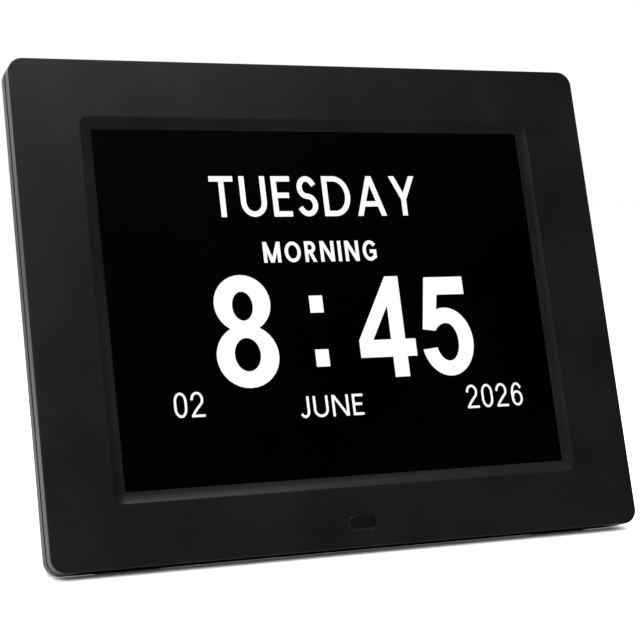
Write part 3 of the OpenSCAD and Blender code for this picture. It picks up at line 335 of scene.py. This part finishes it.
# The share of the rounding that the bezel's thin rims can take
THIN_RIM = 0.33


def bezel_edge(middle):
    """The bezel's outer and front edges are rounded in full, its thin rims less, its inside not at all."""
    outside = abs(middle.x) > 100 or abs(middle.z) > 78
    receiver_hole = abs(middle.x) < 10 and middle.z < -66
    front = middle.y < 0.5
    window_rim = middle.y < 1.2
    if outside or (front and not receiver_hole):
        return 1
    return THIN_RIM if window_rim else 0


dressed("front_bezel", "bezel_shell", "case", 0.3, segments=4, blunt=9, where=bezel_edge)
dressed("rear_cover", "rear_shell", "case", 0.25)
dressed("stand_leg", "leg_shell", "leg", 0.4)
dressed("ir_window", "ir_lens", "case", 0.25)
dressed("lcd_glass", "lcd_panel", "case", 0.1)
for key in ("power", "menu", "up", "down", "left", "right"):
    dressed(key + "_button", key + "_cap", key + "_key", 0.35, segments=4)


# ---------------------------------------------------------------- flat marks
# How thick a mark is, in millimetres
FILM = 0.02


def arc(x, v, across, up, start, end, steps=14):
    """Points along an oval arc, from one angle to another, in degrees."""
    turns = [math.radians(start + (end - start) * i / steps) for i in range(steps + 1)]
    return [(x + across * math.cos(turn), v + up * math.sin(turn)) for turn in turns]


def ring(x, v, across, up, steps=36):
    """Points round an oval."""
    return arc(x, v, across, up, 0, 360 - 360 / steps, steps - 1)


def band(line, width, closed=False):
    """The outlines of a stroke of one width along a line of points. A closed stroke has a hole."""
    line = [Vector(point) for point in line]
    if closed:
        line = [line[-1]] + line + [line[0]]
    else:
        line[0] += (line[0] - line[1]).normalized() * width / 2
        line[-1] += (line[-1] - line[-2]).normalized() * width / 2
        line = [2 * line[0] - line[1]] + line + [2 * line[-1] - line[-2]]
    sides = [[], []]
    for before, here, after in zip(line, line[1:], line[2:]):
        ahead = (here - before).normalized() + (after - here).normalized()
        side = Vector((-ahead.y, ahead.x)).normalized()
        reach = width / 2 / side.dot(Vector((before.y - here.y, here.x - before.x)).normalized())
        sides[0].append(here + side * reach)
        sides[1].append(here - side * reach)
    return sides if closed else [sides[0] + sides[1][::-1]]


def flat_piece(name, shapes, u, material, body, back=False):
    """Thin shapes of x and v points on a face at depth u. A shape's later outlines are its holes."""
    whole = bmesh.new()
    for outlines in shapes:
        curve = bpy.data.curves.new(name, "CURVE")
        curve.dimensions = "2D"
        curve.fill_mode = "BOTH"
        curve.extrude = FILM / 2
        for outline in outlines:
            spline = curve.splines.new("POLY")
            spline.points.add(len(outline) - 1)
            for point, (x, v) in zip(spline.points, outline):
                point.co = (x, v, 0, 1)
            spline.use_cyclic_u = True
        holder = bpy.data.objects.new(name, curve)
        mesh = bpy.data.meshes.new_from_object(holder)
        bpy.data.objects.remove(holder)
        shape = bmesh.new()
        shape.from_mesh(mesh)
        bmesh.ops.remove_doubles(shape, verts=shape.verts, dist=FILM / 10)
        shape.to_mesh(mesh)
        shape.free()
        whole.from_mesh(mesh)
    middle = u + FILM / 2 if back else u - FILM / 2
    stood = Matrix.Translation((0, middle, 0)) @ Matrix.Rotation(math.radians(90), 4, "X")
    bmesh.ops.transform(whole, matrix=CASE @ stood, verts=whole.verts)
    mesh = bpy.data.meshes.new(name)
    whole.to_mesh(mesh)
    whole.free()
    return new_piece(name, mesh, material, body)


# ---------------------------------------------------------------- display
# What the display shows lies on its glass: plain numbers and words, drawn one by one.
# A letter has its width, then its strokes, in shares of its own width and height. A stroke is a bar
# with square ends, a ring, or a slant whose ends are cut level.
LETTERS = {
    "A": (0.80, ("slant", (0, 0, 0.5, 1)), ("slant", (1, 0, 0.5, 1)),
          ("bar", [(0.24, 0.27), (0.76, 0.27)])),
    "D": (0.74, ("ring", [(0, 0), (0, 1), (0.4, 1)] + arc(0.4, 0.5, 0.6, 0.5, 82, -82) + [(0.4, 0)])),
    "E": (0.50, ("bar", [(1, 1), (0, 1), (0, 0), (1, 0)]), ("bar", [(0, 0.53), (0.86, 0.53)])),
    "G": (0.76, ("bar", arc(0.53, 0.5, 0.53, 0.5, 48, 305, 24)
                 + [(0.98, 0.14), (0.98, 0.46), (0.66, 0.46)])),
    "I": (0.15, ("bar", [(0.5, 0), (0.5, 1)])),
    "J": (0.40, ("bar", [(1, 1), (1, 0.28)] + arc(0.42, 0.28, 0.58, 0.28, -8, -140))),
    "M": (0.92, ("bar", [(0, 0), (0, 1)]), ("bar", [(1, 0), (1, 1)]), ("slant", (0, 1, 0.5, 0)),
          ("slant", (1, 1, 0.5, 0))),
    "N": (0.76, ("bar", [(0, 0), (0, 1)]), ("bar", [(1, 0), (1, 1)]), ("slant", (0, 1, 1, 0))),
    "O": (0.86, ("ring", ring(0.5, 0.5, 0.5, 0.5))),
    "R": (0.62, ("bar", [(0, 0), (0, 1)]),
          ("bar", [(0.1, 1), (0.5, 1)] + arc(0.5, 0.75, 0.42, 0.25, 80, -80) + [(0.5, 0.5), (0.1, 0.5)]),
          ("slant", (0.42, 0.52, 1, 0))),
    "S": (0.54, ("bar", arc(0.5, 0.75, 0.46, 0.25, 30, 262) + arc(0.5, 0.25, 0.5, 0.25, 82, -148))),
    "T": (0.62, ("bar", [(0, 1), (1, 1)]), ("bar", [(0.5, 1), (0.5, 0)])),
    "U": (0.68, ("bar", [(0, 1), (0, 0.34)] + arc(0.5, 0.34, 0.5, 0.34, 188, 352)
                 + [(1, 0.34), (1, 1)])),
    "Y": (0.72, ("slant", (0, 1, 0.5, 0.42)), ("slant", (1, 1, 0.5, 0.42)),
          ("bar", [(0.5, 0.46), (0.5, 0)])),
    "0": (0.56, ("ring", arc(0.5, 0.64, 0.5, 0.36, 0, 180) + arc(0.5, 0.36, 0.5, 0.36, 180, 360))),
    "2": (0.60, ("bar", arc(0.47, 0.71, 0.45, 0.29, 172, -38)
                 + [(0.5, 0.35), (0.2, 0.16), (0.07, 0.05)]),
          ("bar", [(0.02, 0), (1, 0)])),
    "6": (0.58, ("ring", ring(0.53, 0.31, 0.47, 0.31)), ("bar", arc(0.54, 0.5, 0.5, 0.5, 42, 215, 22))),
}


def written(words, left, right, base, height, width, share):
    """The shapes of words between two x places, on a base line, with strokes of one width.

    share is the gap between letters, in shares of an em.
    """
    natural = sum(LETTERS[letter][0] for letter in words) + share * (len(words) - 1)
    unit = (right - left) / natural
    shapes = []
    for letter in words:
        wide, *strokes = LETTERS[letter]
        wide *= unit
        for kind, path in strokes:
            if kind == "slant":
                x0, v0, x1, v1 = path
                run = (x1 - x0) * (wide - width)
                rise = (v1 - v0) * height
                half = width / 2 * math.hypot(run, rise) / abs(rise)
                low, high = (left + half + x * (wide - 2 * half) for x in (x0, x1))
                shapes.append([[(low - half, base + v0 * height), (low + half, base + v0 * height),
                                (high + half, base + v1 * height), (high - half, base + v1 * height)]])
            else:
                line = [(left + width / 2 + x * (wide - width), base + width / 2 + v * (height - width))
                        for x, v in path]
                shapes.append(band(line, width, kind == "ring"))
        left += wide + share * unit
    return shapes


GLASS_U = corners("lcd_glass", CASE)[0].y

# A piece's name, its words, their left and right ends, base line, height, stroke and gap
for name, words, left, right, base, height, width, share in (
    ("weekday", "TUESDAY", -41.1, 36.9, 30.25, 14.6, 1.95, 0.16),
    ("part_of_day", "MORNING", -24.1, 18.6, 13.9, 7.4, 1.25, 0.22),
    ("day_number", "02", -61.6, -51.0, -38.1, 8.5, 0.84, 0.16),
    ("month", "JUNE", -16.9, 6.3, -40.5, 7.4, 0.9, 0.18),
    ("year", "2026", 46.25, 68.65, -40.4, 8.4, 0.84, 0.16),
):
    shapes = written(words, left, right, base, height, width, share)
    flat_piece(name, shapes, GLASS_U, PIXELS, "case")

flat_piece("colon", [[[(-9.25, base), (-4.25, base), (-4.25, base + 6.05), (-9.25, base + 6.05)]]
                     for base in (-23.1, -4.15)], GLASS_U, PIXELS, "case")

# The eight: two ovals that cross at its waist, less two holes
flat_piece("hour_8", [[
    arc(-33.85, -0.2, 10.2, 10.0, -59.3, 239.3, 28) + arc(-33.75, -18.4, 11.2, 10.9, 118.5, 421.5, 28),
    ring(-33.85, -1.05, 3.7, 5.05),
    ring(-33.8, -17.85, 4.65, 5.75)]], GLASS_U, PIXELS, "case")
flat_piece("minute_4", [[
    [(20.3, 8.1), (25.4, 8.1), (25.4, -14.5), (29.3, -14.5), (29.3, -20.7), (25.5, -20.7),
     (25.5, -27.9), (19.9, -27.9), (19.9, -20.7), (7.7, -20.7), (7.7, -14.5)],
    [(19.9, -2.5), (19.9, -14.5), (13.1, -14.5)]]], GLASS_U, PIXELS, "case")
flat_piece("minute_5", [[
    [(35.5, 7.4), (50.65, 7.4), (50.65, 0.95), (39.85, 0.95)]
    + arc(41.85, -16.1, 10.15, 12.3, 107, -168, 36)
    + arc(41.95, -16.2, 4.6, 6.8, -164, -90, 10)
    + arc(41.95, -16.2, 4.2, 6.8, -80, 80, 18)
    + arc(41.95, -16.2, 5.5, 6.8, 90, 143, 8)
    + [(32.65, -11.4)]]], GLASS_U, PIXELS, "case")


# ---------------------------------------------------------------- signs on the buttons
# Each sign lies on its button's face and moves with it. Across and up are millimetres from its middle.
SIGNS = {
    "power": [arc(0, 0, 1.3, 1.3, 128, 412, 24), [(0, 0.5), (0, 1.5)]],
    "menu": [[(-1.2, v), (1.2, v)] for v in (-1, 0, 1)],
    "up": [[(-1.3, -0.7), (0, 0.8), (1.3, -0.7)]],
    "down": [[(-1.3, 0.7), (0, -0.8), (1.3, 0.7)]],
    "left": [[(0.7, -1.3), (-0.8, 0), (0.7, 1.3)]],
    "right": [[(-0.7, -1.3), (0.8, 0), (-0.7, 1.3)]],
}
SIGN_STROKE = 0.4

for key, lines in SIGNS.items():
    low, high = corners(key + "_button", CASE)
    x, v = (low.x + high.x) / 2, (low.z + high.z) / 2
    shapes = [band([(x + across, v + up) for across, up in line], SIGN_STROKE) for line in lines]
    flat_piece(key + "_sign", shapes, high.y, INK, key + "_key", back=True)


# ---------------------------------------------------------------- studio
def stage_plane(name, size, material):
    board = bmesh.new()
    bmesh.ops.create_grid(board, x_segments=1, y_segments=1, size=size)
    mesh = bpy.data.meshes.new(name)
    board.to_mesh(mesh)
    board.free()
    mesh.materials.append(material)
    plane = bpy.data.objects.new(name, mesh)
    bpy.context.scene.collection.objects.link(plane)
    return plane


def tone_seen(tree, bounced, shown, mirrored):
    """One level for light that only bounces, one for the camera, one for reflections and clear glass."""
    path = add(tree, "LightPath").outputs
    level = add(tree, "MapRange", {
        "Value": path["Is Camera Ray"], "To Min": bounced, "To Max": shown}).outputs["Result"]
    mirror = add(tree, "Math", {0: path["Is Glossy Ray"], 1: path["Is Transmission Ray"]},
                 operation="MAXIMUM").outputs[0]
    return add(tree, "Mix", {0: mirror, 2: level, 3: mirrored}).outputs[0]


# White paper: the floor looks white up to the object's own shadow
paper = new_material("white_paper")
paper_tone = tone_seen(paper.node_tree, bounced=0.85, shown=2.2, mirrored=1.2)
paper_shader = add(paper.node_tree, "BsdfDiffuse", {"Color": paper_tone})
add(paper.node_tree, "OutputMaterial", {"Surface": paper_shader.outputs["BSDF"]})
stage_plane("floor", 8, paper)

world = bpy.data.worlds.new("white_room")
bpy.context.scene.world = world
world.use_nodes = True
room = world.node_tree
room.nodes.clear()
room_tone = tone_seen(room, bounced=0.45, shown=1.0, mirrored=1.0)
room_light = add(room, "Background", {"Color": (1, 1, 1, 1), "Strength": room_tone})
add(room, "OutputWorld", {"Surface": room_light.outputs["Background"]})


def direction(azimuth, elevation):
    """Away from the object: azimuth runs from its front to its right, in degrees."""
    turn, rise = math.radians(azimuth), math.radians(elevation)
    return Vector((math.sin(turn) * math.cos(rise), -math.cos(turn) * math.cos(rise), math.sin(rise)))


def softbox(name, azimuth, elevation, distance, size, watts, mirrored=True):
    """A square lamp that looks at the object's middle."""
    lamp = bpy.data.lights.new(name, "AREA")
    lamp.shape = "SQUARE"
    lamp.size = size
    lamp.energy = watts
    box = bpy.data.objects.new(name, lamp)
    away = direction(azimuth, elevation)
    box.location = MIDDLE + away * distance
    box.rotation_euler = away.to_track_quat("Z", "Y").to_euler()
    box.visible_glossy = mirrored
    bpy.context.scene.collection.objects.link(box)


# Black velvet: it gives no light back
velvet = new_material("black_velvet")
velvet_shader = add(velvet.node_tree, "BsdfDiffuse", {"Color": (0, 0, 0, 1)})
add(velvet.node_tree, "OutputMaterial", {"Surface": velvet_shader.outputs["BSDF"]})


def black_card(name, place, across, up, seen=False):
    """A black card for a black face to reflect. across and up are half its size, in metres.

    The camera sees it, and it casts a shadow, only if it is to be seen.
    """
    card = stage_plane(name, 1, velvet)
    card.matrix_world = place @ Matrix.Diagonal((across, up, 1, 1))
    card.visible_camera = seen
    card.visible_shadow = seen
    card.visible_diffuse = False
    card.visible_transmission = False


# The object's middle, which the lamps look at
MIDDLE = Vector((0, 0, 0.09))
softbox("key_softbox", azimuth=10, elevation=62, distance=1.0, size=0.5, watts=4.0)
softbox("low_softbox", azimuth=-23, elevation=31, distance=1.2, size=0.5, watts=9.0, mirrored=False)
facing = direction(46, 2)
facing_turn = facing.to_track_quat("Z", "Y").to_matrix().to_4x4()
black_card("front_card", Matrix.Translation(MIDDLE + facing) @ facing_turn, 0.95, 0.95)
# Painted shade: a black card under the case's lower edge, seen only in reflections, that stands for the
# shade beneath the case, so that the case meets the table in a dark line
black_card("reflected_shade_card", Matrix.Translation((0, -0.025, 0.0001)), 0.098, 0.02)
# Painted shade: a black card upright in the hairline gap between the case's lowest edge and the table,
# seen by the camera, so that no gap of light shows there
upright_turn = Matrix.Rotation(math.radians(90), 4, "X")
black_card("gap_shade_card", Matrix.Translation((0, -0.0342, 0.00013)) @ upright_turn, 0.1025, 0.00013,
           seen=True)

# ---------------------------------------------------------------- camera
# The photograph was taken from the left of the clock and a little above its middle. The camera's place
# is given in metres from the middle of the face.
CAMERA_AT = Vector((-0.2409, -0.55149, 0.04306))
CAMERA_TURN = 23.092
CAMERA_TILT = -4.768
CAMERA_ROLL = 0.057
LENS = 98.33

camera = bpy.data.cameras.new("camera")
camera.sensor_width = 36
camera.lens = LENS
camera.clip_start = 0.01
eye = bpy.data.objects.new("camera", camera)
aim = (Matrix.Rotation(-math.radians(CAMERA_TURN), 4, "Z")
       @ Matrix.Rotation(math.radians(90 + CAMERA_TILT), 4, "X")
       @ Matrix.Rotation(math.radians(CAMERA_ROLL), 4, "Z"))
eye.matrix_world = Matrix.Translation(CASE.translation + CAMERA_AT) @ aim
bpy.context.scene.collection.objects.link(eye)
bpy.context.scene.camera = eye
bpy.context.scene.view_settings.view_transform = "Standard"
